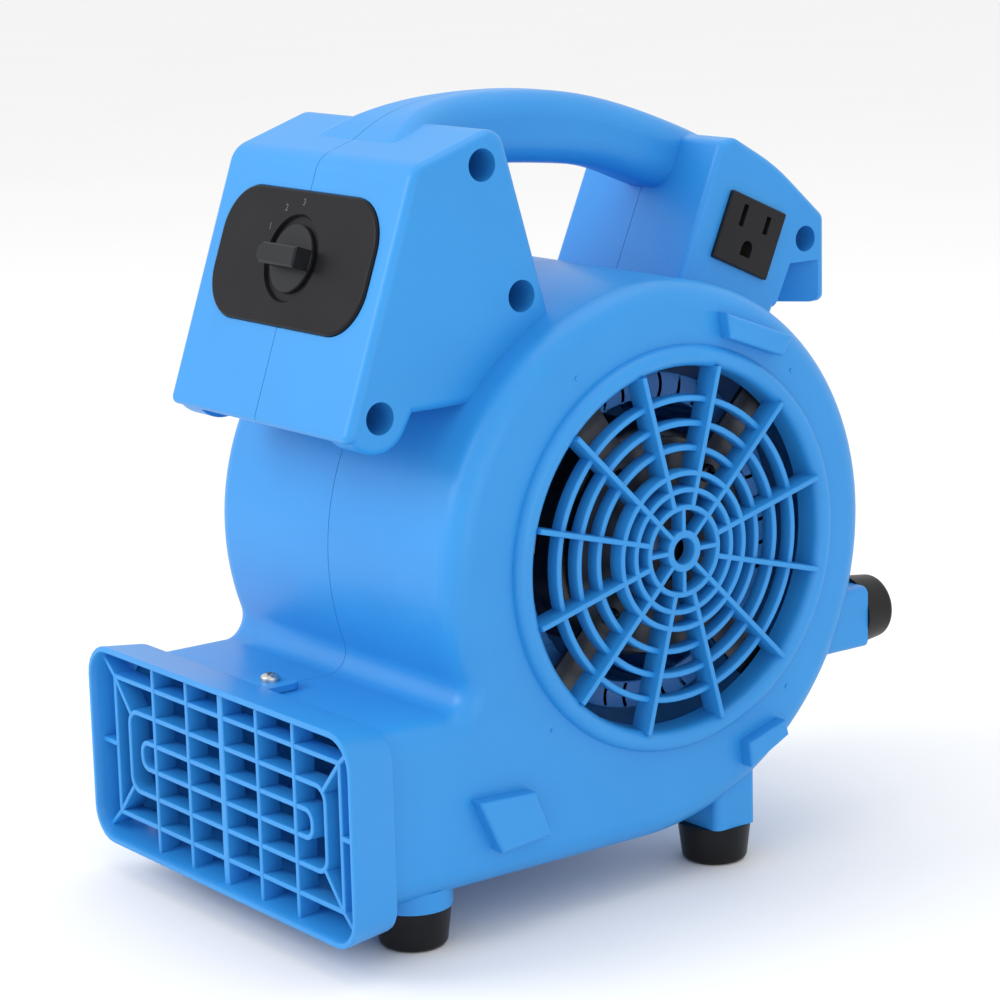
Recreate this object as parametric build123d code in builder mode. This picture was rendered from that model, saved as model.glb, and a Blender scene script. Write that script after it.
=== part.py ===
"""Small commercial air mover: a two-half moulded blower housing with its fan, motor and controls.

Own frame in millimetres: +Z up, -Y out of the air outlet, X along the fan axis.
The origin is on the floor under the middle of the bounding box's footprint.
"""
from build123d import *
import os
from math import cos, sin, tan, radians

# ---- driving dimensions -------------------------------------------------------------------
SHIFT_Y = 19.0          # the fan axis stands this far behind the middle of the footprint
AXIS_Y = SHIFT_Y
AXIS_Z = 129.0          # fan axis above the floor
WALL = 2.5              # moulded wall

HALF_W = 77.5           # half width over the two side plates
SCROLL_R = 98.0         # scroll: front, top and rear round
SCROLL_Y = AXIS_Y - 2.5
LOWER_R = 109.0         # scroll: the wider round that runs under the fan into the duct
LOWER_Y = SCROLL_Y - (LOWER_R - SCROLL_R)
BASE_Z = AXIS_Z - LOWER_R
DUCT_TOP = 85.0
DUCT_FRONT = SHIFT_Y - 140.5
RIM_R = 10.0            # rounded shoulder between scroll and side plate

THROAT_R = 67.5         # inlet opening through the grille
INLET_R = 70.0          # hole in the side plate that the grille's spigot fills
BELL_R = 74.5
BELL_H = 3.5

FRONT_HALF_W = 58.4     # switch box
FACE_LEAN = 19.4        # switch face leans back by this angle
FACE_FOOT = (SHIFT_Y - 129.8, 184.0)
FACE_LENGTH = 96.0
FACE_SKIRT = 2.0        # the face runs on below its foot by this much
BOSS_R = 13.0           # round boss of the lower front screw
BOSS_DEPTH = 16.0
BOX_TOP_REAR = (SHIFT_Y - 60.6, 287.0)
REAR_HALF_W = 38.3      # receptacle box
REAR_LEAN = 24.0
BIN_Y = SHIFT_Y + 111.0

SCREW_HOLE_R = 5.8      # deep counterbores on the right-hand side
REAR_HOLE_R = 5.0
SCREW_POSTS = [(SHIFT_Y - 69.5, 273.3), (SHIFT_Y - 53.6, 225.9), (SHIFT_Y - 115.9, 190.3),
               (SHIFT_Y + 100.5, 229.3)]

FRAME_FRONT = SHIFT_Y - 153.5
FRAME_BACK = SHIFT_Y - 134.5
FRAME_HALF_W = 88.0
FRAME_H = 77.5
FRAME_Z = 51.2
FRAME_R = 13.0

FOOT_R = 14.0
FOOT_H = 15.0
FOOT_X = 60.0
FOOT_FRONT_Y = SHIFT_Y - 110.0
FOOT_REAR_Y = SHIFT_Y + 32.0
BACK_FOOT_Z = 85.0
BACK_FACE_Y = SHIFT_Y + 100.5

LUG_H = 6.0
LUGS = [[(-96, 54), (-71, 53), (-64, 35.5), (-86.5, 33.5)],
        [(30, 50.5), (48.5, 56), (50, 50), (31, 41)],
        [(21, 214), (53, 202), (48, 195), (22.5, 204.5)]]

PLATE_W, PLATE_H = 97.0, 49.5
PLATE_UP = 58.7         # switch plate centre, measured up the leaning face
KNOB_R = 12.5
DISH_R = 16.5

IMPELLER_R = 63.0
BLADE_IN_R = 53.0
BLADES = 40
SHAFT_R = 4.0
MOTOR_R = 43.0

BRACKET_X = 66.0        # motor bracket, just behind the right-hand grille
ARM_ANGLES = (44, 139, 226, 327)
ARM_REACH = 82.0
PIP_R = 0.8
BARS_FRONT = SHIFT_Y - 149.7
BARS_BACK = SHIFT_Y - 141.0
GRILLE_X = 82.5         # front plane of the inlet grilles' vanes
RING_T = 2.0
RINGS = [(7.65, 75.5, 82.5), (17.2, 75.5, 82.5), (23.6, 75.5, 82.5), (29.8, 75.5, 82.5),
         (38.7, 73.5, 79.5), (47.6, 73.5, 79.5), (56.8, 73.5, 79.5)]
BAR_PITCH = 23.45
LOOPS = [(75.0, 26.7, 0), (65.5, 15.5, 6.0), (57.0, 5.1, 3.6)]
SEAM_GAP = 0.15         # half the seam between the two housing halves
PLATE_SEAT = 0.8
PLATE_R = 18.0
FOOT_SCREW_R = 2.1
SCREW_R = 2.0
SCREW_SEAT_X = 24.0
SCREW_BITE = 14.0
FRAME_SCREW_Y = SHIFT_Y - 127.5
GLAND_Y = SHIFT_Y + 98.5
GLAND_R = 6.5
OUTLET_Y, OUTLET_Z = SHIFT_Y + 70.6, 233.6
RECEPT_W, RECEPT_H = 26.0, 23.5
BREAKER_Y, BREAKER_Z, BREAKER_R = SHIFT_Y + 53.0, 228.0, 5.5

FACE = Plane(origin=(0, FACE_FOOT[0], FACE_FOOT[1]), x_dir=(1, 0, 0),
             z_dir=(0, -cos(radians(FACE_LEAN)), sin(radians(FACE_LEAN))))
SIDE = Plane.YZ

os.makedirs("parts", exist_ok=True)


def save(piece, name):
    piece.label = name
    export_step(piece, "parts/" + name + ".step")


def polar(radius, angle, y0=AXIS_Y, z0=AXIS_Z):
    """A point round the fan axis, from the top towards the rear."""
    return (y0 + radius * sin(radians(angle)), z0 + radius * cos(radians(angle)))


ARM_ENDS = [polar(ARM_REACH, angle) for angle in ARM_ANGLES]
MOTOR_BOLTS = [polar(33.0, angle) for angle in ARM_ANGLES]


# ---- housing outlines, all in the Y-Z plane ------------------------------------------------
def scroll_outline(inset):
    """The volute and its outlet duct as one closed outline, moved inwards by inset."""
    r_top = SCROLL_R - inset
    r_low = LOWER_R - inset
    top = DUCT_TOP - inset
    half = (r_top ** 2 - (AXIS_Z - top) ** 2) ** 0.5
    valley = (SCROLL_Y - half, top)
    with BuildSketch() as face:
        with BuildLine():
            Line((LOWER_Y, BASE_Z + inset), (DUCT_FRONT - inset, BASE_Z + inset))
            Line((DUCT_FRONT - inset, BASE_Z + inset), (DUCT_FRONT - inset, top))
            Line((DUCT_FRONT - inset, top), valley)
            ThreePointArc(valley, polar(r_top, 0, SCROLL_Y), (SCROLL_Y + r_top, AXIS_Z))
            ThreePointArc((LOWER_Y + r_low, AXIS_Z), polar(r_low, 135, LOWER_Y),
                          (LOWER_Y, BASE_Z + inset))
        make_face()
        throat = face.vertices().sort_by_distance((valley[0], valley[1], 0))[0]
        fillet(throat, 8 + inset)
    return face.sketch


def up_face(distance, ahead=0.0):
    """A point of the Y-Z plane, measured up the leaning face and out in front of it."""
    lean = radians(FACE_LEAN)
    return (FACE_FOOT[0] + distance * sin(lean) - ahead * cos(lean),
            FACE_FOOT[1] + distance * cos(lean) + ahead * sin(lean))


def front_box_outline(inset):
    """The switch box seen from the side; its lower rear runs into the scroll."""
    top_front = up_face(FACE_LENGTH)
    with BuildSketch() as face:
        with BuildLine():
            Polyline(up_face(-FACE_SKIRT), top_front, BOX_TOP_REAR, (SHIFT_Y - 37.0, 206.0),
                     (SHIFT_Y - 52.0, 190.0), (SHIFT_Y - 101.0, 190.0), (SHIFT_Y - 104.5, 184.0),
                     close=True)
        make_face()
        fillet(face.vertices().sort_by_distance((top_front[0], top_front[1], 0))[0], 10)
        if not inset:
            fillet(face.vertices().sort_by_distance((*up_face(-FACE_SKIRT), 0))[0], 2.2)
        fillet(face.vertices().sort_by_distance((BOX_TOP_REAR[0], BOX_TOP_REAR[1], 0))[0], 7)
        if inset:
            offset(amount=-inset)
    return face.sketch


def rear_box_outline(inset):
    """The receptacle box seen from the side, with the hood that overhangs behind it."""
    low = 214.0 if inset else 204.0
    crown = (SHIFT_Y + 87.0, 258.9)
    with BuildSketch() as face:
        with BuildLine():
            Polyline((SHIFT_Y + 31.0, 206.0), (SHIFT_Y + 59.0, 270.0), (SHIFT_Y + 66.0, 271.0),
                     *([] if inset else [crown]), (BIN_Y, 237.5), (BIN_Y, low),
                     (SHIFT_Y + 84.3, low), (SHIFT_Y + 78.5, 193.0), (SHIFT_Y + 50.0, 193.0), close=True)
        make_face()
        fillet(face.vertices().sort_by_distance((SHIFT_Y + 59.0, 270.0, 0))[0], 3)
        fillet(face.vertices().sort_by_distance((SHIFT_Y + 66.0, 271.0, 0))[0], 6)
        if not inset:
            fillet(face.vertices().sort_by_distance((crown[0], crown[1], 0))[0], 90)
        fillet(face.vertices().sort_by_distance((BIN_Y, 237.5, 0))[0], 4)
        fillet(face.vertices().sort_by_distance((BIN_Y, low, 0))[0], 3)
        if inset:
            offset(amount=-inset)
    return face.sketch


def swell(inset):
    """The hand grip: rounded sections lofted along an arch, spreading into both boxes."""
    sections = [(-86, 262.0, 36, 14.0, 14), (-72, 269.5, 27, 15.0, 12), (-56, 275.5, 19, 15.0, 8),
                (-38, 279.2, 14.6, 13.7, 3), (-14, 279.4, 14, 13.5, -2), (12, 276.6, 14, 13.3, -8),
                (38, 269.8, 14, 13.0, -18), (60, 261.5, 14.4, 13.0, -24), (78, 252.5, 15, 13.0, -28)]
    with BuildPart() as bar:
        for y, z, half_w, half_h, tilt in sections:
            place = Plane(origin=(0, SHIFT_Y + y, z), x_dir=(1, 0, 0),
                          z_dir=(0, cos(radians(tilt)), sin(radians(tilt))))
            with BuildSketch(place):
                RectangleRounded(2 * (half_w - inset), 2 * (half_h - inset), 9.5 - inset)
        loft()
    return bar.part


def pads(x_low, x_high, z_low, z_high, y_low, y_high):
    """A rectangular block given by its limits."""
    size = (x_high - x_low, y_high - y_low, z_high - z_low)
    spot = ((x_high + x_low) / 2, (y_high + y_low) / 2, (z_high + z_low) / 2)
    return Pos(*spot) * Box(*size)


# ---- the outer skin of the right-hand half --------------------------------------------------
def side_rim(part, front_limit):
    """Edges of the outermost face, apart from those at the duct's open end."""
    rim = part.faces().sort_by(Axis.X)[-1].edges()
    return [e for e in rim if e.center().Y > front_limit]


with BuildPart() as scroll_skin:
    with BuildSketch(SIDE):
        add(scroll_outline(0))
    extrude(amount=HALF_W)
    fillet(side_rim(scroll_skin.part, DUCT_FRONT + 1), RIM_R)

with BuildPart() as scroll_void:
    with BuildSketch(SIDE):
        add(scroll_outline(WALL))
    extrude(amount=HALF_W - WALL)
    fillet(side_rim(scroll_void.part, DUCT_FRONT + 1), RIM_R - WALL)

with BuildPart() as front_skin:
    with BuildSketch(SIDE):
        add(front_box_outline(0))
    extrude(amount=FRONT_HALF_W)
    # the lower screw's boss stands out under the box and stops at the leaning face
    with BuildSketch(SIDE.offset(FRONT_HALF_W - BOSS_DEPTH)):
        with Locations(SCREW_POSTS[2]):
            Circle(BOSS_R)
        with BuildLine():
            Polyline(up_face(-40), up_face(40), up_face(40, 20), up_face(-40, 20), close=True)
        make_face(mode=Mode.SUBTRACT)
    extrude(amount=BOSS_DEPTH)
    fillet(front_skin.part.faces().sort_by(Axis.X)[-1].edges(), 3.5)

with BuildPart() as rear_skin:
    with BuildSketch(SIDE):
        add(rear_box_outline(0))
    extrude(amount=REAR_HALF_W)
    fillet(rear_skin.part.faces().sort_by(Axis.X)[-1].edges(), 3.0)


def hood_scoop(grow):
    """The hollow under the hood, on the outer side of its pocket, made larger by grow."""
    with BuildPart() as wedge:
        with BuildSketch(Plane.XY.offset(200.0)):
            with BuildLine():
                Polyline((REAR_HALF_W + 1, SHIFT_Y + 108.0), (REAR_HALF_W + 1, SHIFT_Y + 70.0),
                         (18.0, SHIFT_Y + 70.0), (18.0, SHIFT_Y + 89.0), close=True)
            make_face()
            if grow:
                offset(amount=grow, kind=Kind.INTERSECTION)
        extrude(amount=20.5 + grow)
    with BuildPart() as behind_neck:
        with BuildSketch(SIDE):
            with BuildLine():
                Polyline((SHIFT_Y + 92.8, 221.0), (SHIFT_Y + 80.0, 195.0),
                         (SHIFT_Y + 120.0, 195.0), (SHIFT_Y + 120.0, 221.0), close=True)
            make_face()
            if grow:
                offset(amount=grow, kind=Kind.INTERSECTION)
        extrude(amount=REAR_HALF_W + 2)
    return wedge.part & behind_neck.part


with BuildPart() as rear_box_cut:
    add(rear_skin.part)
    add(hood_scoop(0), mode=Mode.SUBTRACT)

handle_whole = swell(0)
handle_void = swell(WALL)
right_side = pads(0, 200, -50, 400, -300, 300)

# stacking lugs that square off the shoulder of the side plate
with BuildPart() as lugs:
    for corners in LUGS:
        with BuildSketch(SIDE.offset(HALF_W - 14)):
            with BuildLine():
                Polyline(*[(SHIFT_Y + y, z) for y, z in corners], close=True)
            make_face()
        extrude(amount=14 + LUG_H)
    fillet(lugs.faces().group_by(Axis.X)[-1].edges(), 1.5)

with BuildPart() as outer_skin:
    add(scroll_skin.part)
    add(front_skin.part)
    add(rear_box_cut.part)
    add(handle_whole & right_side)
    # seats for the two feet under this half and the one behind it
    with BuildSketch(Plane.XY.offset(FOOT_H)):
        with Locations((FOOT_X, FOOT_FRONT_Y)):
            Circle(FOOT_R + 0.5)
    extrude(amount=BASE_Z - FOOT_H + WALL)
    with BuildSketch(Plane.XY.offset(FOOT_H)):
        with Locations((FOOT_X, FOOT_REAR_Y)):
            RectangleRounded(26, 20, 3)
    extrude(amount=45)
    with BuildSketch(Plane.XZ.offset(-BACK_FACE_Y)):
        with Locations((FOOT_X, BACK_FOOT_Z)):
            RectangleRounded(26, 24, 3)
    extrude(amount=50)
    add(lugs.part)

# ---- the hollow inside one half -----------------------------------------------------------------
with BuildPart() as inner_void:
    add(scroll_void.part)
    with BuildSketch(Plane.XZ.offset(-DUCT_FRONT - 1)):
        with Locations((0, (DUCT_TOP + BASE_Z) / 2)):
            RectangleRounded(2 * (HALF_W - WALL), DUCT_TOP - BASE_Z - 2 * WALL, RIM_R - WALL)
    extrude(amount=3, both=True)
    with BuildSketch(SIDE.offset(HALF_W - 12)):
        with Locations((AXIS_Y, AXIS_Z)):
            Circle(INLET_R)
    extrude(amount=20)

with BuildPart() as front_void:
    with BuildSketch(SIDE):
        add(front_box_outline(WALL))
    extrude(amount=FRONT_HALF_W - WALL)

with BuildPart() as rear_void:
    with BuildSketch(SIDE):
        add(rear_box_outline(WALL))
    extrude(amount=REAR_HALF_W - WALL)

with BuildPart() as hood_pocket:
    with BuildSketch(Plane.XY.offset(200.0)):
        with Locations((0, SHIFT_Y + 98.5)):
            RectangleRounded(30, 19, 3)
    extrude(amount=12.5)

with BuildPart() as posts:
    with BuildSketch(SIDE):
        with Locations(SCREW_POSTS[0], SCREW_POSTS[1], SCREW_POSTS[2]):
            Circle(SCREW_HOLE_R + 2.2)
    extrude(amount=FRONT_HALF_W - 1)
    with BuildSketch(SIDE):
        with Locations(SCREW_POSTS[3]):
            Circle(SCREW_HOLE_R + 2.7)
    extrude(amount=REAR_HALF_W - 1)

with BuildPart() as half_base:
    add(outer_skin.part)
    add(front_void.part - scroll_skin.part, mode=Mode.SUBTRACT)
    add(rear_void.part - scroll_skin.part - hood_scoop(WALL), mode=Mode.SUBTRACT)
    add((handle_void & right_side) - scroll_skin.part, mode=Mode.SUBTRACT)
    add(inner_void.part, mode=Mode.SUBTRACT)
    add(posts.part - scroll_void.part)
    # four pillars behind the side plate that carry the motor bracket
    with BuildSketch(SIDE.offset(BRACKET_X + 2.3)):
        with Locations(*ARM_ENDS):
            Circle(4.5)
    extrude(amount=HALF_W - WALL + 0.5 - BRACKET_X - 2.3)
    with BuildSketch(SIDE.offset(BRACKET_X)):
        with Locations(*ARM_ENDS):
            Circle(1.7)
    extrude(amount=9, mode=Mode.SUBTRACT)
    # small moulded pips that show where the pillars stand
    with BuildSketch(SIDE.offset(HALF_W - 0.5)):
        with Locations(*ARM_ENDS):
            Circle(PIP_R)
    extrude(amount=0.9)
    add(hood_pocket.part, mode=Mode.SUBTRACT)
    # screw holes up into the foot seats
    with BuildSketch(Plane.XY.offset(0)):
        with Locations((FOOT_X, FOOT_FRONT_Y), (FOOT_X, FOOT_REAR_Y)):
            Circle(FOOT_SCREW_R)
    extrude(amount=FOOT_H + 12, mode=Mode.SUBTRACT)
    with BuildSketch(Plane.XZ.offset(-BACK_FACE_Y - 1)):
        with Locations((FOOT_X, BACK_FOOT_Z)):
            Circle(FOOT_SCREW_R)
    extrude(amount=13, mode=Mode.SUBTRACT)
    # round window in the switch face, flat seat for the plate
    with BuildSketch(FACE.offset(-6)):
        with Locations((0, PLATE_UP)):
            Circle(DISH_R + 1.5)
    extrude(amount=12, mode=Mode.SUBTRACT)
    with BuildSketch(FACE.offset(-PLATE_SEAT)):
        with Locations((0, PLATE_UP)):
            RectangleRounded(PLATE_W + 0.6, PLATE_H + 0.6, PLATE_R + 0.3)
    extrude(amount=4, mode=Mode.SUBTRACT)
    # cord gland hole in the roof of the hood's pocket
    with BuildSketch(Plane.XY.offset(211)):
        with Locations((0, GLAND_Y)):
            Circle(GLAND_R)
    extrude(amount=7, mode=Mode.SUBTRACT)
    # outlet frame screws
    for level in (DUCT_TOP + 2, BASE_Z - 2):
        with BuildSketch(Plane.XY.offset(level - 6)):
            with Locations((0, FRAME_SCREW_Y)):
                Circle(1.6)
        extrude(amount=12, mode=Mode.SUBTRACT)

clear_right = pads(SEAM_GAP, 200, -200, 400, -300, 300)

with BuildPart() as housing_right:
    add(half_base.part & clear_right)
    bores = [(FRONT_HALF_W, SCREW_HOLE_R)] * 3 + [(REAR_HALF_W, REAR_HOLE_R)]
    for spot, (reach, bore_r) in zip(SCREW_POSTS, bores):
        with BuildSketch(SIDE.offset(SCREW_SEAT_X)):
            with Locations(spot):
                Circle(bore_r)
        extrude(amount=reach - SCREW_SEAT_X + 1, mode=Mode.SUBTRACT)
        with BuildSketch(SIDE):
            with Locations(spot):
                Circle(SCREW_R + 0.2)
        extrude(amount=SCREW_SEAT_X, mode=Mode.SUBTRACT)
    # receptacle window
    with BuildSketch(SIDE.offset(REAR_HALF_W - 8)):
        with Locations((OUTLET_Y, OUTLET_Z)):
            Rectangle(RECEPT_W + 0.4, RECEPT_H + 0.4, rotation=-REAR_LEAN)
    extrude(amount=20, mode=Mode.SUBTRACT)

with BuildPart() as housing_left:
    add((half_base.part & clear_right).mirror(Plane.YZ))
    with BuildSketch(SIDE):
        with Locations(*SCREW_POSTS):
            Circle(SCREW_R + 0.05)
    extrude(amount=-SCREW_BITE - 1, mode=Mode.SUBTRACT)
    # reset breaker window
    with BuildSketch(SIDE.offset(-REAR_HALF_W - 5)):
        with Locations((BREAKER_Y, BREAKER_Z)):
            Circle(BREAKER_R + 0.2)
    extrude(amount=12, mode=Mode.SUBTRACT)

save(housing_right.part, "housing_right")
save(housing_left.part, "housing_left")


# ---- inlet grilles: a rounded bell ring with vanes and rings moulded in one ---------------------
with BuildPart() as inlet_grille:
    with BuildSketch(Plane(origin=(0, AXIS_Y, AXIS_Z), x_dir=(1, 0, 0), z_dir=(0, -1, 0))):
        with BuildLine():
            Polyline((70.5, INLET_R - 0.3), (HALF_W + 0.3, INLET_R - 0.3), (HALF_W + 0.3, BELL_R),
                     (HALF_W + BELL_H, BELL_R), (HALF_W + BELL_H, THROAT_R), (70.5, THROAT_R - 0.6),
                     close=True)
        make_face()
        fillet([v for v in vertices() if abs(v.X - HALF_W - BELL_H) < 0.01], 2.8)
    revolve(axis=Axis((0, AXIS_Y, AXIS_Z), (1, 0, 0)))
    for outer, low, high in RINGS:
        with BuildSketch(SIDE.offset(low)):
            with Locations((AXIS_Y, AXIS_Z)):
                Circle(outer)
                Circle(outer - RING_T, mode=Mode.SUBTRACT)
        extrude(amount=high - low)
    with BuildSketch(SIDE.offset(GRILLE_X - 10)):
        with Locations((AXIS_Y, AXIS_Z)):
            with PolarLocations(16.2, 12, start_angle=15):
                Rectangle(THROAT_R - 16.0, 2.0, align=(Align.MIN, Align.CENTER))
    extrude(amount=10)
    with BuildSketch(SIDE.offset(GRILLE_X - 7)):
        with Locations((AXIS_Y, AXIS_Z)):
            with PolarLocations(6.5, 8, start_angle=0):
                Rectangle(9.5, 1.8, align=(Align.MIN, Align.CENTER))
    extrude(amount=7)

save(inlet_grille.part, "inlet_grille_right")
save(inlet_grille.part.mirror(Plane.YZ), "inlet_grille_left")


# ---- outlet grille: a flared frame over the end of the duct, with an egg-crate of bars ----------
def loop(half_w, half_h, radius, t=2.0):
    """A closed rectangular bar, as a ring in the grille's own plane."""
    if radius:
        RectangleRounded(2 * half_w + t, 2 * half_h + t, radius + t / 2)
        RectangleRounded(2 * half_w - t, 2 * half_h - t, radius - t / 2, mode=Mode.SUBTRACT)
    else:
        Rectangle(2 * half_w + t, 2 * half_h + t)
        Rectangle(2 * half_w - t, 2 * half_h - t, mode=Mode.SUBTRACT)


FLARE = 7.2
with BuildPart() as outlet_grille:
    with BuildSketch(Plane.XZ.offset(-FRAME_BACK)):
        with Locations((0, FRAME_Z)):
            RectangleRounded(2 * FRAME_HALF_W - 4.8, FRAME_H - 4.8, FRAME_R - 2)
    extrude(amount=FRAME_BACK - FRAME_FRONT, taper=-FLARE)
    with BuildSketch(Plane.XZ.offset(-FRAME_BACK + 5.0)):
        with Locations((0, FRAME_Z)):
            RectangleRounded(2 * FRAME_HALF_W - 9.0, FRAME_H - 9.0, FRAME_R - 4)
    extrude(amount=FRAME_BACK - FRAME_FRONT, taper=-FLARE, mode=Mode.SUBTRACT)
    with BuildSketch(Plane.XZ.offset(-FRAME_BACK - 1)):
        with Locations((0, (DUCT_TOP + BASE_Z) / 2)):
            RectangleRounded(2 * HALF_W + 0.6, DUCT_TOP - BASE_Z + 0.6, RIM_R)
    extrude(amount=8, mode=Mode.SUBTRACT)
    for bar in range(-2, 3):
        with BuildSketch(Plane.XZ.offset(-BARS_BACK)):
            with Locations((bar * BAR_PITCH, FRAME_Z)):
                Rectangle(3.4 if bar == 0 else 2.0, FRAME_H - 6.0)
        extrude(amount=BARS_BACK - BARS_FRONT)
    for half_w, half_h, radius in LOOPS:
        with BuildSketch(Plane.XZ.offset(-BARS_BACK)):
            with Locations((0, FRAME_Z)):
                loop(half_w, half_h, radius)
        extrude(amount=BARS_BACK - BARS_FRONT - 0.02)
    for sx in (-1, 1):
        with BuildSketch(Plane.XZ.offset(-BARS_BACK)):
            with Locations((sx * 79.8, FRAME_Z)):
                Rectangle(10.5, 2.0)
            for sz in (-1, 1):
                with Locations((sx * 69.5, FRAME_Z + sz * 20.3)):
                    Rectangle(16.5, 1.8, rotation=sx * sz * 46)
                with Locations((sx * 78.6, FRAME_Z + sz * 29.8)):
                    Rectangle(10.0, 1.8, rotation=sx * sz * 40)
        extrude(amount=BARS_BACK - BARS_FRONT - 0.01)
    # tongues that the two frame screws go through
    for low, thick in ((DUCT_TOP + 0.3, 2.4), (BASE_Z - 2.7, 2.4)):
        with BuildSketch(Plane.XY.offset(low)):
            with Locations((0, FRAME_SCREW_Y - 2)):
                RectangleRounded(20, 19, 4)
            with Locations((0, FRAME_SCREW_Y)):
                Circle(SCREW_R + 0.3, mode=Mode.SUBTRACT)
        extrude(amount=thick)

save(outlet_grille.part, "outlet_grille")


# ---- fasteners -----------------------------------------------------------------------------------
def pan_screw(length, radius, head_r, head_h):
    """A cross-recess pan-head screw along +Z, with the underside of its head at z = 0."""
    with BuildPart() as screw:
        with BuildSketch():
            Circle(head_r)
        extrude(amount=head_h)
        fillet(screw.edges().filter_by(GeomType.CIRCLE).sort_by(Axis.Z)[-1], head_h * 0.7)
        with BuildSketch():
            Circle(radius)
        extrude(amount=-length)
        chamfer(screw.edges().filter_by(GeomType.CIRCLE).sort_by(Axis.Z)[0], radius * 0.4)
        with BuildSketch(Plane.XY.offset(head_h - 1.4)):
            Rectangle(head_r * 1.1, 0.9)
            Rectangle(0.9, head_r * 1.1)
        extrude(amount=2, mode=Mode.SUBTRACT)
    return screw.part


def group(pieces, name):
    save(Compound(children=pieces), name)


along_x = Rot(0, 90, 0)
screw_long = pan_screw(SCREW_SEAT_X + SCREW_BITE - 0.5, SCREW_R, 3.9, 2.6)
group([Pos(SCREW_SEAT_X + 0.05, y, z) * along_x * screw_long for y, z in SCREW_POSTS],
      "housing_screws")

screw_short = pan_screw(8.0, 1.55, 3.6, 2.7)
group([Pos(0, FRAME_SCREW_Y, DUCT_TOP + 2.75) * screw_short,
       Pos(0, FRAME_SCREW_Y, BASE_Z - 2.75) * Rot(180, 0, 0) * screw_short], "outlet_screws")


# ---- feet ------------------------------------------------------------------------------------------
def rubber_foot():
    """A moulded rubber cup foot, floor side at z = 0."""
    with BuildPart() as foot:
        with BuildSketch():
            Circle(FOOT_R - 1.8)
        with BuildSketch(Plane.XY.offset(FOOT_H - 0.1)):
            Circle(FOOT_R)
        loft()
        fillet(foot.edges().filter_by(GeomType.CIRCLE).sort_by(Axis.Z)[0], 2.6)
        with BuildSketch():
            Circle(5.0)
        extrude(amount=9, mode=Mode.SUBTRACT)
        with BuildSketch():
            Circle(2.3)
        extrude(amount=FOOT_H, mode=Mode.SUBTRACT)
    return foot.part


FOOT_PLACES = {"foot_front_right": Pos(FOOT_X, FOOT_FRONT_Y, 0),
               "foot_front_left": Pos(-FOOT_X, FOOT_FRONT_Y, 0),
               "foot_rear_right": Pos(FOOT_X, FOOT_REAR_Y, 0),
               "foot_rear_left": Pos(-FOOT_X, FOOT_REAR_Y, 0),
               "foot_back_right": Pos(FOOT_X, BACK_FACE_Y + FOOT_H, BACK_FOOT_Z) * Rot(90, 0, 0),
               "foot_back_left": Pos(-FOOT_X, BACK_FACE_Y + FOOT_H, BACK_FOOT_Z) * Rot(90, 0, 0)}
foot_blank = rubber_foot()
foot_screw = pan_screw(15.0, SCREW_R, 4.2, 2.6)
for name, place in FOOT_PLACES.items():
    save(place * foot_blank, name)
group([place * Pos(0, 0, 8.95) * Rot(180, 0, 0) * foot_screw for place in FOOT_PLACES.values()],
      "foot_screws")

# ---- speed switch: plate, knob, rotary switch, nut -------------------------------------------------
with BuildPart() as switch_plate:
    with BuildSketch(FACE.offset(-PLATE_SEAT + 0.05)):
        with Locations((0, PLATE_UP)):
            RectangleRounded(PLATE_W, PLATE_H, PLATE_R)
    extrude(amount=PLATE_SEAT + 1.2)
    fillet(switch_plate.faces().sort_by(Axis(FACE.origin, FACE.z_dir))[-1].edges(), 1.1)
    with BuildSketch(FACE.offset(-3.2)):
        with Locations((0, PLATE_UP)):
            Circle(DISH_R)
    extrude(amount=3)
    with BuildSketch(FACE.offset(-0.2)):
        with Locations((0, PLATE_UP)):
            Circle(DISH_R - 1.2)
    extrude(amount=4, taper=-30, mode=Mode.SUBTRACT)
    with BuildSketch(FACE.offset(-2.2)):
        with Locations((0, PLATE_UP)):
            Circle(8.0)
    extrude(amount=4, mode=Mode.SUBTRACT)
    with BuildSketch(FACE.offset(-4)):
        with Locations((0, PLATE_UP)):
            Circle(5.2)
    extrude(amount=4, mode=Mode.SUBTRACT)
save(switch_plate.part, "switch_plate")

with BuildPart() as speed_knob:
    with BuildSketch(FACE.offset(0.1)):
        with Locations((0, PLATE_UP)):
            Circle(KNOB_R)
    extrude(amount=1.5)
    fillet(speed_knob.edges().filter_by(GeomType.CIRCLE).sort_by(Axis(FACE.origin, FACE.z_dir))[-1], 0.6)
    with BuildSketch(FACE.offset(1.0)):
        with BuildLine():
            Polyline((-12.2, PLATE_UP - 1.8), (-12.2, PLATE_UP + 1.8), (-9.5, PLATE_UP + 3.8),
                     (12.0, PLATE_UP + 3.8), (12.0, PLATE_UP - 3.8), (-9.5, PLATE_UP - 3.8), close=True)
        make_face()
    extrude(amount=7.4)
    chamfer(speed_knob.faces().sort_by(Axis(FACE.origin, FACE.z_dir))[-1].edges(), 0.7)
    with BuildSketch(FACE.offset(0)):
        with Locations((0, PLATE_UP)):
            Circle(3.05)
    extrude(amount=5.5, mode=Mode.SUBTRACT)
save(speed_knob.part, "speed_knob")

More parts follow.
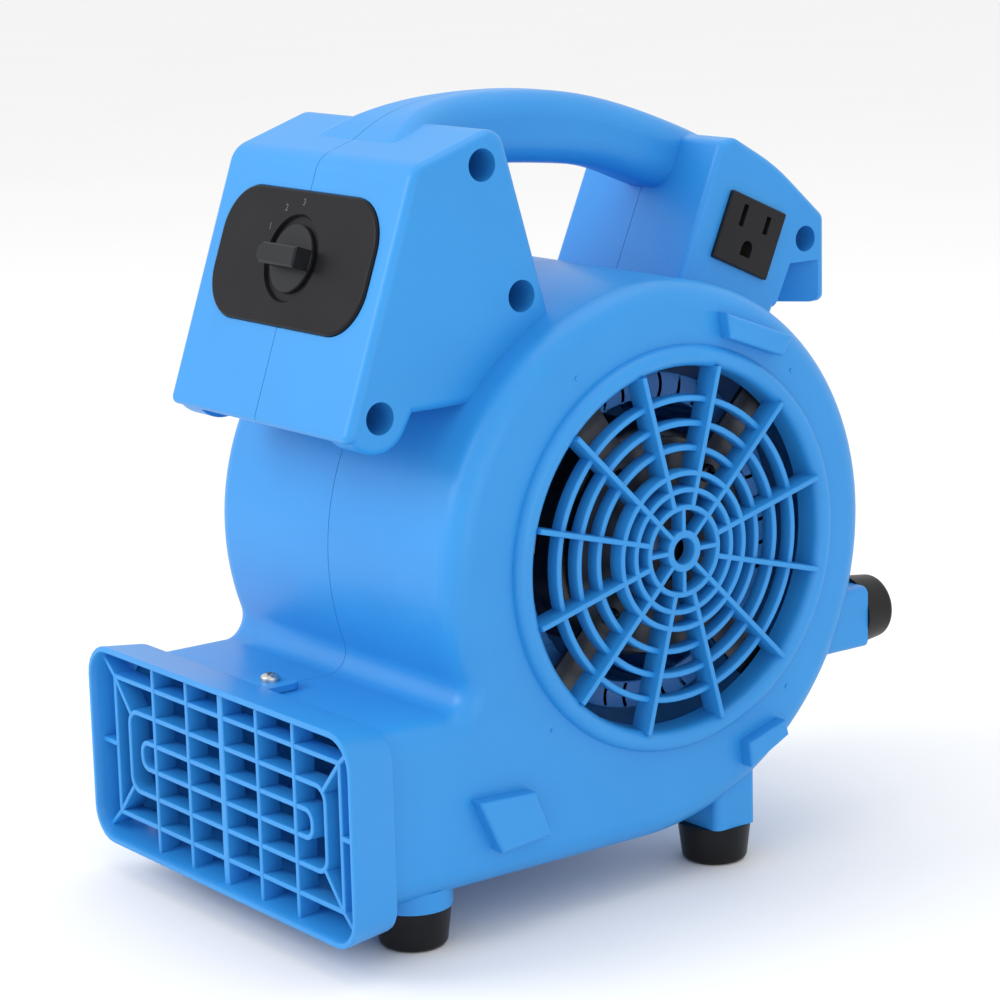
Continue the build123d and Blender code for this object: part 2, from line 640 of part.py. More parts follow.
with BuildPart() as switch_body:
    with BuildSketch(FACE.offset(-18.0)):
        with Locations((0, PLATE_UP)):
            RectangleRounded(28, 28, 2)
    extrude(amount=14.5)
    with BuildSketch(FACE.offset(-4.0)):
        with Locations((0, PLATE_UP)):
            Circle(5.0)
    extrude(amount=3.4)
    with BuildSketch(FACE.offset(-14.0)):
        with Locations((0, PLATE_UP)):
            Circle(3.05)
    extrude(amount=15, mode=Mode.SUBTRACT)
    with BuildSketch(FACE.offset(-23.0)):
        with Locations((-9, PLATE_UP - 9), (-9, PLATE_UP + 9), (9, PLATE_UP - 9), (9, PLATE_UP + 9)):
            Rectangle(0.8, 4.7)
    extrude(amount=5.5)
save(switch_body.part, "rotary_switch")

with BuildPart() as switch_shaft:
    with BuildSketch(FACE.offset(-13.5)):
        with Locations((0, PLATE_UP)):
            Circle(3.0)
    extrude(amount=18.5)
save(switch_shaft.part, "switch_shaft")

with BuildPart() as switch_nut:
    with BuildSketch(FACE.offset(-2.15)):
        with Locations((0, PLATE_UP)):
            RegularPolygon(7.4, 6)
            Circle(5.02, mode=Mode.SUBTRACT)
    extrude(amount=1.6)
save(switch_nut.part, "switch_nut")

# ---- mains socket in the rear box -------------------------------------------------------------------
SOCKET = Plane(origin=(REAR_HALF_W, OUTLET_Y, OUTLET_Z), z_dir=(1, 0, 0),
               x_dir=(0, cos(radians(REAR_LEAN)), -sin(radians(REAR_LEAN))))
SLOT_UP = 6.0
SLOTS = [(-6.35, SLOT_UP, 2.3, 8.6), (6.35, SLOT_UP, 2.3, 7.0)]
with BuildPart() as socket_body:
    with BuildSketch(SOCKET.offset(-16)):
        Rectangle(RECEPT_W, RECEPT_H)
    extrude(amount=16.2)
    with BuildSketch(SOCKET.offset(0.05)):
        RectangleRounded(29.2, 26.7, 0.8)
    extrude(amount=2.0)
    chamfer(socket_body.faces().sort_by(Axis.X)[-1].edges(), 0.5)
    with BuildSketch(SOCKET.offset(-11)):
        for x, up, w, h in SLOTS:
            with Locations((x, up)):
                Rectangle(w, h)
        with Locations((0, SLOT_UP - 12.6)):
            Rectangle(5.4, 3.6)
        with Locations((0, SLOT_UP - 11.0)):
            Circle(2.7)
    extrude(amount=14, mode=Mode.SUBTRACT)
save(socket_body.part, "power_socket")

with BuildPart() as socket_contacts:
    with BuildSketch(SOCKET.offset(-10.9)):
        with Locations((-6.35, SLOT_UP), (6.35, SLOT_UP)):
            Rectangle(1.6, 6.6)
        with Locations((0, SLOT_UP - 11.6)):
            Rectangle(4.0, 3.0)
    extrude(amount=6)
save(socket_contacts.part, "socket_contacts")

# ---- reset breaker on the left-hand side of the rear box ---------------------------------------------
BREAKER = Plane(origin=(-REAR_HALF_W, BREAKER_Y, BREAKER_Z), z_dir=(-1, 0, 0), x_dir=(0, -1, 0))
BUTTON_R = 3.4
with BuildPart() as breaker_body:
    with BuildSketch(BREAKER.offset(-16)):
        RectangleRounded(14, 14, 1.5)
    extrude(amount=13)
    with BuildSketch(BREAKER.offset(-3.5)):
        Circle(BREAKER_R)
    extrude(amount=4)
    with BuildSketch(BREAKER.offset(0.05)):
        Circle(7.6)
    extrude(amount=2.6)
    fillet(breaker_body.faces().sort_by(Axis.X)[0].edges(), 0.9)
    with BuildSketch(BREAKER.offset(-6)):
        Circle(BUTTON_R + 0.06)
    extrude(amount=12, mode=Mode.SUBTRACT)
save(breaker_body.part, "reset_breaker")

with BuildPart() as breaker_button:
    with BuildSketch(BREAKER.offset(-3.5)):
        Circle(BUTTON_R)
    extrude(amount=8.3)
    fillet(breaker_button.faces().sort_by(Axis.X)[0].edges(), 0.8)
save(breaker_button.part, "reset_button")

# ---- cord gland in the roof of the pocket under the hood ----------------------------------------------
with BuildPart() as cord_gland:
    with BuildSketch(Plane.XY.offset(209.4)):
        with Locations((0, GLAND_Y)):
            Circle(8.6)
    extrude(amount=3.0)
    fillet(cord_gland.faces().sort_by(Axis.Z)[0].edges(), 1.2)
    with BuildSketch(Plane.XY.offset(212.0)):
        with Locations((0, GLAND_Y)):
            Circle(GLAND_R - 0.1)
    extrude(amount=8.0)
    with BuildSketch(Plane.XY.offset(209.0)):
        with Locations((0, GLAND_Y)):
            Circle(3.8)
    extrude(amount=12, mode=Mode.SUBTRACT)
save(cord_gland.part, "cord_gland")

with BuildPart() as gland_nut:
    with BuildSketch(Plane.XY.offset(216.8)):
        with Locations((0, GLAND_Y)):
            RegularPolygon(9.2, 6)
            Circle(GLAND_R - 0.05, mode=Mode.SUBTRACT)
    extrude(amount=2.8)
save(gland_nut.part, "gland_nut")

# ---- motor, carried by a steel spider just behind the right-hand grille -------------------------------
AXLE = Plane(origin=(0, AXIS_Y, AXIS_Z), z_dir=(1, 0, 0), x_dir=(0, 1, 0))
CORE_LOW, CORE_HIGH = 23.0, 47.0
BELL_LOW, BELL_HIGH = 9.0, 61.0
BEARING_R = 9.0
BOLT_SPOTS = [polar(33.0, angle, 0, 0) for angle in ARM_ANGLES]


def ring_part(name, low, high, outer, inner):
    with BuildPart() as ring:
        with BuildSketch(AXLE.offset(low)):
            Circle(outer)
            Circle(inner, mode=Mode.SUBTRACT)
        extrude(amount=high - low)
    save(ring.part, name)


def end_bell(name, wall_x, mouth_x, seat_x):
    """A pressed motor end cover: a shallow cup with a bearing seat in the middle."""
    way = 1 if mouth_x > wall_x else -1
    with BuildPart() as bell:
        with BuildSketch(AXLE.offset(wall_x)):
            Circle(MOTOR_R)
        extrude(amount=mouth_x - wall_x)
        fillet(bell.edges().filter_by(GeomType.CIRCLE).sort_by(Axis.X)[0 if way > 0 else -1], 4)
        with BuildSketch(AXLE.offset(wall_x + 2 * way)):
            Circle(MOTOR_R - 2)
        extrude(amount=mouth_x - wall_x, mode=Mode.SUBTRACT)
        with BuildSketch(AXLE.offset(wall_x)):
            Circle(BEARING_R + 3)
        extrude(amount=seat_x - wall_x)
        with BuildSketch(AXLE.offset(wall_x)):
            Circle(BEARING_R + 0.02)
        extrude(amount=seat_x - wall_x, mode=Mode.SUBTRACT)
        with BuildSketch(AXLE.offset(wall_x)):
            with PolarLocations(24, 8, start_angle=10):
                SlotOverall(12, 4, rotation=90)
        extrude(amount=2 * way, mode=Mode.SUBTRACT)
        with BuildSketch(AXLE.offset(wall_x)):
            with Locations(*BOLT_SPOTS):
                Circle(1.7)
        extrude(amount=2 * way, mode=Mode.SUBTRACT)
    save(bell.part, name)


end_bell("motor_cover_inner", BELL_LOW, CORE_LOW - 0.1, 17.0)
end_bell("motor_cover_outer", BELL_HIGH, CORE_HIGH + 0.1, 53.0)
ring_part("stator_core", CORE_LOW, CORE_HIGH, MOTOR_R, 24.0)
ring_part("stator_winding_inner", 13.5, CORE_LOW - 0.2, 38.0, 26.5)
ring_part("stator_winding_outer", CORE_HIGH + 0.2, 56.5, 38.0, 26.5)
ring_part("bearing_inner", BELL_LOW + 0.3, 17.0, BEARING_R, SHAFT_R + 0.05)
ring_part("bearing_outer", 53.0, BELL_HIGH - 0.3, BEARING_R, SHAFT_R + 0.05)
ring_part("rotor_core", 20.0, 50.0, 23.6, SHAFT_R + 0.01)

with BuildPart() as motor_shaft:
    with BuildSketch(AXLE.offset(-14)):
        Circle(SHAFT_R)
    extrude(amount=75)
    chamfer(motor_shaft.edges().filter_by(GeomType.CIRCLE), 0.5)
save(motor_shaft.part, "motor_shaft")

with BuildPart() as motor_bracket:
    with BuildSketch(AXLE.offset(BRACKET_X)):
        Circle(40)
        for angle in ARM_ANGLES:
            with Locations(polar(61, angle, 0, 0)):
                SlotOverall(56, 14, rotation=90 - angle)
        Circle(15, mode=Mode.SUBTRACT)
        with Locations(*BOLT_SPOTS, *[polar(ARM_REACH, angle, 0, 0) for angle in ARM_ANGLES]):
            Circle(2.2, mode=Mode.SUBTRACT)
    extrude(amount=2.0)
save(motor_bracket.part, "motor_bracket")

with BuildPart() as spacers:
    with BuildSketch(AXLE.offset(BELL_HIGH + 0.1)):
        with Locations(*BOLT_SPOTS):
            Circle(4.5)
            Circle(2.2, mode=Mode.SUBTRACT)
    extrude(amount=BRACKET_X - BELL_HIGH - 0.2)
save(spacers.part, "motor_spacers")

motor_screw = pan_screw(10.5, 1.6, 3.4, 2.3)
group([Pos(BRACKET_X + 2.05, y, z) * along_x * motor_screw for y, z in MOTOR_BOLTS], "motor_screws")
bracket_screw = pan_screw(7.5, 1.6, 3.4, 2.3)
group([Pos(BRACKET_X - 0.05, y, z) * Rot(0, -90, 0) * bracket_screw for y, z in ARM_ENDS],
      "bracket_screws")

# ---- impeller: a double squirrel cage on one centre disc ------------------------------------------------
CAGE = 58.0
with BuildPart() as impeller:
    with BuildSketch(AXLE.offset(-1.2)):
        Circle(IMPELLER_R)
        Circle(11.1, mode=Mode.SUBTRACT)
    extrude(amount=2.4)
    with BuildSketch(AXLE.offset(-CAGE)):
        Circle(IMPELLER_R)
        Circle(BLADE_IN_R, mode=Mode.SUBTRACT)
    extrude(amount=2.2)
    with BuildSketch(AXLE.offset(CAGE - 2.2)):
        Circle(IMPELLER_R)
        Circle(BLADE_IN_R, mode=Mode.SUBTRACT)
    extrude(amount=2.2)
    with BuildSketch(AXLE.offset(-CAGE)):
        with PolarLocations((IMPELLER_R + BLADE_IN_R) / 2, BLADES):
            Rectangle(9.4, 1.5, rotation=38)
    extrude(amount=2 * CAGE)
save(impeller.part, "impeller")

with BuildPart() as impeller_hub:
    with BuildSketch(AXLE.offset(-12)):
        Circle(11.0)
        Circle(SHAFT_R + 0.01, mode=Mode.SUBTRACT)
    extrude(amount=17)
    with BuildSketch(AXLE.offset(1.3)):
        Circle(17)
        Circle(10, mode=Mode.SUBTRACT)
    extrude(amount=2.2)
    with BuildSketch(Plane.XY.offset(AXIS_Z + SHAFT_R + 0.5)):
        with Locations((-7, AXIS_Y)):
            Circle(2.05)
    extrude(amount=10, mode=Mode.SUBTRACT)
save(impeller_hub.part, "impeller_hub")

with BuildPart() as set_screw:
    with BuildSketch(Plane.XY.offset(AXIS_Z + SHAFT_R + 0.6)):
        with Locations((-7, AXIS_Y)):
            Circle(2.0)
    extrude(amount=6.0)
save(set_screw.part, "hub_set_screw")

clip_y, clip_z = polar(BLADE_IN_R - 1.3, 279)
with BuildPart() as balance_clip:
    with BuildSketch(Plane(origin=(CAGE - 6, clip_y, clip_z), z_dir=(1, 0, 0),
                           x_dir=(0, sin(radians(279)), cos(radians(279))))):
        Rectangle(1.6, 9)
    extrude(amount=7.0)
save(balance_clip.part, "balance_clip")

# ---- electrics in the switch box and the grip -------------------------------------------------------------
with BuildPart() as capacitor:
    with Locations((-36, SHIFT_Y - 82, 241)):
        Box(30, 20, 26)
    fillet(capacitor.edges().filter_by(Axis.X), 5)
save(capacitor.part, "capacitor")

with BuildPart() as terminal_block:
    with Locations((35, SHIFT_Y - 84.5, 237.5)):
        Box(30, 17, 11)
    with BuildSketch(Plane.XY.offset(243)):
        with Locations(*[(24.5 + 7 * k, SHIFT_Y - 84.5) for k in range(4)]):
            Circle(2.2)
    extrude(amount=-3, mode=Mode.SUBTRACT)
save(terminal_block.part, "terminal_block")

LEAD_R = 1.5
LEAD_ROUTE = [(80, 243), (68, 255), (48, 264), (26, 271.5), (0, 275.5), (-28, 276.5), (-54, 270),
              (-70, 260), (-78, 247)]


def bend_radii(points, share=0.45):
    """Each bend as large as its two runs allow."""
    radii = []
    for before, here, after in zip(points, points[1:], points[2:]):
        one, two = Vector(*here) - Vector(*before), Vector(*after) - Vector(*here)
        radii.append(share * min(one.length, two.length) / tan(radians(one.get_angle(two) / 2)))
    return radii


leads = []
for side in (-1, 1):
    route = [(side * 4, SHIFT_Y + y, z) for y, z in LEAD_ROUTE]
    with BuildPart() as lead:
        with BuildLine() as path:
            FilletPolyline(*route, radius=bend_radii(route))
        with BuildSketch(Plane(origin=path.line @ 0, z_dir=path.line % 0)):
            Circle(LEAD_R)
        sweep()
    leads.append(lead.part)
group(leads, "handle_leads")
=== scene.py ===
import bpy
import bmesh
from math import cos, pi, radians, sin
from mathutils import Matrix, Vector


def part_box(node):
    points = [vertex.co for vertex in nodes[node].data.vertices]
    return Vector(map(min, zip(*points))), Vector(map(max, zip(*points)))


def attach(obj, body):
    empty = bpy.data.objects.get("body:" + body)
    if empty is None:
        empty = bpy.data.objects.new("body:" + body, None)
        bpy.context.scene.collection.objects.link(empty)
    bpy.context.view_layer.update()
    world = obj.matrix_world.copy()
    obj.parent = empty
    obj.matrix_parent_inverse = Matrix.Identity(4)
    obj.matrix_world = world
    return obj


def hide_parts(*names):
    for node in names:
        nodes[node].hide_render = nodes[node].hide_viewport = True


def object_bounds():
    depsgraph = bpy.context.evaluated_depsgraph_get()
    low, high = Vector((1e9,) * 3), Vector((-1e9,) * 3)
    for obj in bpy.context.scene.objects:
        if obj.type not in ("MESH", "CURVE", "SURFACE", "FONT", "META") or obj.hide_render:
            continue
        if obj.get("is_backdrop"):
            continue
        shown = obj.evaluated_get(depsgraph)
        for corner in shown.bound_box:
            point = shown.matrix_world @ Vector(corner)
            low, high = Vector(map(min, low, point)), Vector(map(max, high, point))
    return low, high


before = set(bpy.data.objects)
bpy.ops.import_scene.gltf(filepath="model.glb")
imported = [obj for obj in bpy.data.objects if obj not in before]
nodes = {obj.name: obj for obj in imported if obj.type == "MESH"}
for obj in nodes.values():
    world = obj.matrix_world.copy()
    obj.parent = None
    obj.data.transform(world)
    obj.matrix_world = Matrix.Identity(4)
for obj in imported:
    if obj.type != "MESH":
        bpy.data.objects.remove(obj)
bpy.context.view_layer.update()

# ---- Camera ------------------------------------------------------------------------------------
# A long lens from the front right, a little above the handle, turned very slightly on its axis.
azimuth, elevation, roll = radians(53.02), radians(12.24), radians(-1.46)
away = Vector((sin(azimuth) * cos(elevation), -cos(azimuth) * cos(elevation), sin(elevation)))
level = Vector((cos(azimuth), sin(azimuth), 0))
upright = away.cross(level)
across = cos(roll) * level + sin(roll) * upright
above = -sin(roll) * level + cos(roll) * upright
camera = bpy.data.objects.new("camera", bpy.data.cameras.new("camera"))
camera.data.sensor_width = 36
camera.data.lens = 110.61
camera.data.clip_end = 50
stand = Vector((0.9089, -0.6868, 0.3852))
camera.matrix_world = Matrix.Translation(stand) @ Matrix((across, above, away)).transposed().to_4x4()
bpy.context.scene.collection.objects.link(camera)
bpy.context.scene.camera = camera


# ---- Blower housing ----------------------------------------------------------------------------
# Two moulded halves in azure polypropylene, screwed together on the middle plane.
# The skin has a fine moulded grain, a soft sheen and faint flow shading.
def moulded(name, colour, shade, roughness, grain=900, depth=0.02, cloud=14, coat=0.0, shine=0.5):
    """A plastic or rubber skin: two close tones in soft clouds, with a fine grain in the surface."""
    material = bpy.data.materials.new(name)
    material.use_nodes = True
    tree, links = material.node_tree.nodes, material.node_tree.links
    shader = tree["Principled BSDF"]
    place = tree.new("ShaderNodeTexCoord")
    clouds = tree.new("ShaderNodeTexNoise")
    clouds.inputs["Scale"].default_value = cloud
    clouds.inputs["Detail"].default_value = 4
    tones = tree.new("ShaderNodeValToRGB")
    tones.color_ramp.elements[0].position = 0.32
    tones.color_ramp.elements[0].color = (*shade, 1)
    tones.color_ramp.elements[1].position = 0.68
    tones.color_ramp.elements[1].color = (*colour, 1)
    grains = tree.new("ShaderNodeTexNoise")
    grains.inputs["Scale"].default_value = grain
    grains.inputs["Detail"].default_value = 2
    gloss = tree.new("ShaderNodeMapRange")
    gloss.inputs["To Min"].default_value = roughness - 0.05
    gloss.inputs["To Max"].default_value = roughness + 0.05
    bump = tree.new("ShaderNodeBump")
    bump.inputs["Strength"].default_value = depth * 10
    bump.inputs["Distance"].default_value = 0.0001
    links.new(place.outputs["Object"], clouds.inputs["Vector"])
    links.new(place.outputs["Object"], grains.inputs["Vector"])
    links.new(clouds.outputs["Fac"], tones.inputs["Fac"])
    links.new(clouds.outputs["Fac"], gloss.inputs["Value"])
    links.new(grains.outputs["Fac"], bump.inputs["Height"])
    links.new(tones.outputs["Color"], shader.inputs["Base Color"])
    links.new(gloss.outputs["Result"], shader.inputs["Roughness"])
    links.new(bump.outputs["Normal"], shader.inputs["Normal"])
    shader.inputs["Specular IOR Level"].default_value = shine
    shader.inputs["Coat Weight"].default_value = coat
    shader.inputs["Coat Roughness"].default_value = 0.15
    return material


def finish_with(material, *names):
    """Give CAD nodes their finish."""
    for name in names:
        nodes[name].data.materials.clear()
        nodes[name].data.materials.append(material)


azure = moulded("azure_housing_plastic", (0.028, 0.280, 0.690), (0.024, 0.254, 0.640), 0.42,
                coat=0.08, shine=0.35)
finish_with(azure, "housing_right", "housing_left")


# ---- Inlet grilles -----------------------------------------------------------------------------
# One moulding on each side: a rolled bell ring, seven hoops and deep radial vanes, snapped into
# the side plate. The vanes stand 10 mm deep and the outer hoops sit 3 mm behind their fronts.
mm = 0.001
axis_y, axis_z = 19, 129            # the fan axis, in millimetres
right_side = (radians(90), 0, radians(90))
left_side = (radians(90), 0, radians(-90))
fan_axis = (0, axis_y * mm, axis_z * mm)


def lathe(outline, steps):
    """A closed outline of (radius, height) points turned round the Z axis."""
    mesh = bmesh.new()
    loops = []
    for step in range(steps):
        turn = 2 * pi * step / steps
        loops.append([mesh.verts.new((r * cos(turn), r * sin(turn), h)) for r, h in outline])
    for step in range(steps):
        here, there = loops[step], loops[(step + 1) % steps]
        for i in range(len(outline)):
            j = (i + 1) % len(outline)
            mesh.faces.new((here[i], there[i], there[j], here[j]))
    bmesh.ops.recalc_face_normals(mesh, faces=mesh.faces)
    return mesh


def plain_mesh(mesh, name):
    made = bpy.data.meshes.new(name)
    mesh.to_mesh(made)
    mesh.free()
    return made


def smooth(mesh, angle=35):
    mesh.shade_smooth()
    mesh.set_sharp_from_angle(angle=radians(angle))


def place_piece(mesh, name, material, body, slot, *replaced):
    """Put a finished mesh in the scene, on its body, in place of its CAD nodes."""
    mesh.name = name
    if not mesh.materials:
        mesh.materials.append(material)
    piece = bpy.data.objects.new(name, mesh)
    bpy.context.scene.collection.objects.link(piece)
    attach(piece, body)
    if replaced:
        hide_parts(*replaced)
    return piece


class Tree:
    """A Geometry Nodes tree under construction, and what it will join together."""

    def __init__(self, name, **sizes):
        self.group = bpy.data.node_groups.new(name, "GeometryNodeTree")
        self.group.interface.new_socket("Geometry", in_out="INPUT", socket_type="NodeSocketGeometry")
        self.group.interface.new_socket("Geometry", in_out="OUTPUT", socket_type="NodeSocketGeometry")
        self.keys = {}
        for size in sizes:
            socket = self.group.interface.new_socket(size, in_out="INPUT",
                                                     socket_type="NodeSocketFloat")
            self.keys[size] = socket.identifier
        self.sizes = sizes
        self.start = self.group.nodes.new("NodeGroupInput")
        self.parts = [self.start.outputs["Geometry"]]

    def add(self, kind, mode=None, **inputs):
        """A node of this kind, each input given a value or fed from another node."""
        node = self.group.nodes.new(kind)
        if mode:
            node.mode = mode
        for key, value in inputs.items():
            socket = node.inputs[key.replace("_", " ")]
            if isinstance(value, bpy.types.NodeSocket):
                self.group.links.new(value, socket)
            else:
                socket.default_value = value
        return node

    def bar(self, path, thick, depth, edge):
        """A bar of rounded section along a flat path."""
        section = self.add("GeometryNodeCurvePrimitiveQuadrilateral", Width=thick, Height=depth)
        eased = self.add("GeometryNodeFilletCurve", "POLY", Curve=section.outputs[0], Radius=edge,
                         Count=3)
        run = self.add("GeometryNodeCurveToMesh", Curve=path, Profile_Curve=eased.outputs[0])
        run.inputs["Fill Caps"].default_value = True
        return run.outputs[0]

    def line(self, start, end):
        return self.add("GeometryNodeCurvePrimitiveLine", Start=start, End=end).outputs[0]

    def spin(self, geometry, count, first=0.0):
        """Copies round the Z axis, evenly spaced."""
        points = self.add("GeometryNodePoints", Count=count)
        number = self.group.nodes.new("GeometryNodeInputIndex")
        turn = self.add("ShaderNodeMath")
        turn.operation = "MULTIPLY_ADD"
        self.group.links.new(number.outputs[0], turn.inputs[0])
        turn.inputs[1].default_value = 2 * pi / count
        turn.inputs[2].default_value = first
        about = self.add("ShaderNodeCombineXYZ", Z=turn.outputs[0])
        copies = self.add("GeometryNodeInstanceOnPoints", Points=points.outputs[0], Instance=geometry)
        self.group.links.new(about.outputs[0], copies.inputs["Rotation"])
        return copies.outputs[0]

    def moved(self, geometry, shift=(0, 0, 0), turn=(0, 0, 0)):
        node = self.add("GeometryNodeTransform", Geometry=geometry, Translation=shift, Rotation=turn)
        return node.outputs[0]

    def mesh(self, base, material, shift=(0, 0, 0), turn=(0, 0, 0)):
        """Close the tree, run it once on the base mesh and give back the plain result."""
        join = self.group.nodes.new("GeometryNodeJoinGeometry")
        for part in reversed(self.parts):
            self.group.links.new(part, join.inputs[0])
        placed = self.moved(join.outputs[0], shift, turn)
        real = self.add("GeometryNodeRealizeInstances", Geometry=placed)
        painted = self.add("GeometryNodeSetMaterial", Geometry=real.outputs[0])
        painted.inputs["Material"].default_value = material
        end = self.group.nodes.new("NodeGroupOutput")
        self.group.links.new(painted.outputs[0], end.inputs[0])
        worker = bpy.data.objects.new("worker", base)
        bpy.context.scene.collection.objects.link(worker)
        modifier = worker.modifiers.new("build", "NODES")
        modifier.node_group = self.group
        for size, key in self.keys.items():
            modifier[key] = self.sizes[size]
        result = bpy.data.meshes.new_from_object(
            worker.evaluated_get(bpy.context.evaluated_depsgraph_get()))
        worker.modifiers.clear()
        bpy.data.objects.remove(worker)
        return result


def bell_outline():
    """Half of the rolled lip round the inlet: up the outside, over the crown and into the throat."""
    crown_r, crown_h = 71.3 * mm, 77.4 * mm
    crown = [(crown_r + 3.9 * mm * cos(radians(a)), crown_h + 4.3 * mm * sin(radians(a)))
             for a in range(0, 181, 15)]
    return crown + [(67.1 * mm, 72.5 * mm), (66.7 * mm, 70.5 * mm), (69.6 * mm, 70.5 * mm),
                    (69.6 * mm, 77.3 * mm)]


# each hoop: radius, thickness, height of its middle, depth
hoops = [(6.3, 2.9, 78.9, 7.0), (16.2, 2.1, 78.9, 7.0), (22.6, 2.1, 78.9, 7.0),
         (28.8, 2.1, 78.9, 7.0), (37.6, 2.3, 76.5, 6.0), (46.6, 2.3, 76.5, 6.0), (55.7, 2.3, 76.5, 6.0)]
for side, turn, node in (("right", right_side, "inlet_grille_right"),
                         ("left", left_side, "inlet_grille_left")):
    tree = Tree("inlet_grille_" + side, vane_depth=10 * mm, vane_thickness=2.0 * mm)
    for radius, thick, height, deep in hoops:
        ring = tree.add("GeometryNodeCurvePrimitiveCircle", Resolution=96, Radius=radius * mm)
        hoop = tree.bar(ring.outputs[0], thick * mm, deep * mm, 0.75 * mm)
        tree.parts.append(tree.moved(hoop, (0, 0, height * mm)))
    vane = tree.bar(tree.line((16.4 * mm, 0, 0), (68.2 * mm, 0, 0)),
                    tree.start.outputs["vane_thickness"], tree.start.outputs["vane_depth"], 0.55 * mm)
    tree.parts.append(tree.moved(tree.spin(vane, 12, radians(15)), (0, 0, 77.5 * mm)))
    spoke = tree.bar(tree.line((7.0 * mm, 0, 0), (16.0 * mm, 0, 0)), 1.7 * mm, 6.6 * mm, 0.4 * mm)
    tree.parts.append(tree.moved(tree.spin(spoke, 8), (0, 0, 78.9 * mm)))
    grille = tree.mesh(plain_mesh(lathe(bell_outline(), 144), "bell"), azure, fan_axis, turn)
    smooth(grille)
    place_piece(grille, "inlet_guard_" + side, azure, "blower", "blue_shell", node)

# ---- Outlet grille -----------------------------------------------------------------------------
# A flared rectangular frame that slips over the end of the duct and carries an egg crate of thin
# bars 3.8 mm behind its front edge. A tongue above and one below are screwed to the duct.
forward = (radians(90), 0, 0)
frame_low, frame_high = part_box("outlet_grille")
mouth = (0, frame_low.y, (frame_low.z + frame_high.z) / 2)
half_w, half_h = 88.0 * mm, 38.75 * mm


def rounded_box(wide, high, radius, steps=6):
    """The corners of an upright rectangle with round corners, anticlockwise."""
    points = []
    for corner, (sx, sy) in enumerate(((1, 1), (-1, 1), (-1, -1), (1, -1))):
        for step in range(steps + 1):
            a = radians(90 * corner + 90 * step / steps)
            points.append((sx * (wide - radius) + radius * cos(a),
                           sy * (high - radius) + radius * sin(a)))
    return points


def ring_shell(levels):
    """A skin through closed loops of equal count, joined round into a tube."""
    mesh = bmesh.new()
    loops = [[mesh.verts.new((x, y, z)) for x, y in rounded_box(w, h, r)] for w, h, r, z in levels]
    for one, two in zip(loops, loops[1:] + loops[:1]):
        for i in range(len(one)):
            j = (i + 1) % len(one)
            mesh.faces.new((one[i], one[j], two[j], two[i]))
    bmesh.ops.recalc_face_normals(mesh, faces=mesh.faces)
    return mesh


def flared_frame():
    """Section of the frame, from the back outwards and forwards, over the lip and back inside."""
    spots = [(-2.4, -19.0), (-2.2, -18.4), (-0.2, -1.6), (-0.05, -0.7), (-0.5, -0.12), (-1.2, 0.0),
             (-1.9, -0.12), (-2.4, -0.7), (-2.7, -3.6), (-4.0, -12.0), (-4.9, -18.4), (-4.9, -19.0)]
    return [(half_w + g * mm, half_h + g * mm, (13 + g) * mm, z * mm) for g, z in spots]


tree = Tree("outlet_grille", hoop_depth=8.4 * mm, hoop_thickness=2.0 * mm)
hoop_deep, hoop_thick = tree.start.outputs["hoop_depth"], tree.start.outputs["hoop_thickness"]
bar_depth = 8.7
bar_middle = -(3.8 + bar_depth / 2) * mm
for x in (-46.9, -23.45, 0, 23.45, 46.9):
    upright_bar = tree.line((x * mm, -half_h + 2.8 * mm, 0), (x * mm, half_h - 2.8 * mm, 0))
    thick = (3.5 if x == 0 else 2.0) * mm
    tree.parts.append(tree.moved(tree.bar(upright_bar, thick, bar_depth * mm, 0.5 * mm),
                                 (0, 0, bar_middle)))
for wide, high, corner in ((75.0, 26.7, 0.6), (65.5, 15.5, 5.5), (57.0, 5.1, 4.2)):
    shape = tree.add("GeometryNodeCurvePrimitiveQuadrilateral", Width=2 * wide * mm,
                     Height=2 * high * mm)
    eased = tree.add("GeometryNodeFilletCurve", "POLY", Curve=shape.outputs[0], Radius=corner * mm,
                     Count=6)
    hoop = tree.bar(eased.outputs[0], hoop_thick, hoop_deep, 0.5 * mm)
    tree.parts.append(tree.moved(hoop, (0, 0, bar_middle - 0.1 * mm)))
for sx in (-1, 1):
    stub = tree.line((sx * 75 * mm, 0, 0), (sx * 85.3 * mm, 0, 0))
    tree.parts.append(tree.moved(tree.bar(stub, hoop_thick, hoop_deep, 0.5 * mm),
                                 (0, 0, bar_middle)))
    for sy in (-1, 1):
        for start, end in (((64.2, 14.2), (75, 26.7)), ((75, 26.7), (82.6, 33.4))):
            run = tree.line((sx * start[0] * mm, sy * start[1] * mm, 0),
                            (sx * end[0] * mm, sy * end[1] * mm, 0))
            tree.parts.append(tree.moved(tree.bar(run, 1.8 * mm, hoop_deep, 0.45 * mm),
                                         (0, 0, bar_middle)))
tongue_middle, tongue_wide = -24 * mm, 19 * mm
for low, top in ((34.1, 36.5), (-33.9, -31.5)):
    tongue = tree.line((0, low * mm, tongue_middle), (0, top * mm, tongue_middle))
    tree.parts.append(tree.bar(tongue, tongue_wide, tongue_wide, 4 * mm))
outlet = tree.mesh(plain_mesh(ring_shell(flared_frame()), "frame"), azure, mouth, forward)
smooth(outlet)
place_piece(outlet, "outlet_guard", azure, "blower", "blue_shell", "outlet_grille")


# ---- Screws ------------------------------------------------------------------------------------
# Zinc-plated cross-recess pan heads: four deep in the housing's counterbores, one above and one
# below the outlet frame, and one up the middle of each foot.
def plated(name, colour, roughness, streak=260):
    """Bare or plated metal: fine streaks of tone and gloss."""
    material = moulded(name, colour, tuple(0.72 * c for c in colour), roughness, streak, 0.012, 55)
    material.node_tree.nodes["Principled BSDF"].inputs["Metallic"].default_value = 1.0
    return material


zinc = plated("zinc_plate", (0.66, 0.66, 0.63), 0.3)


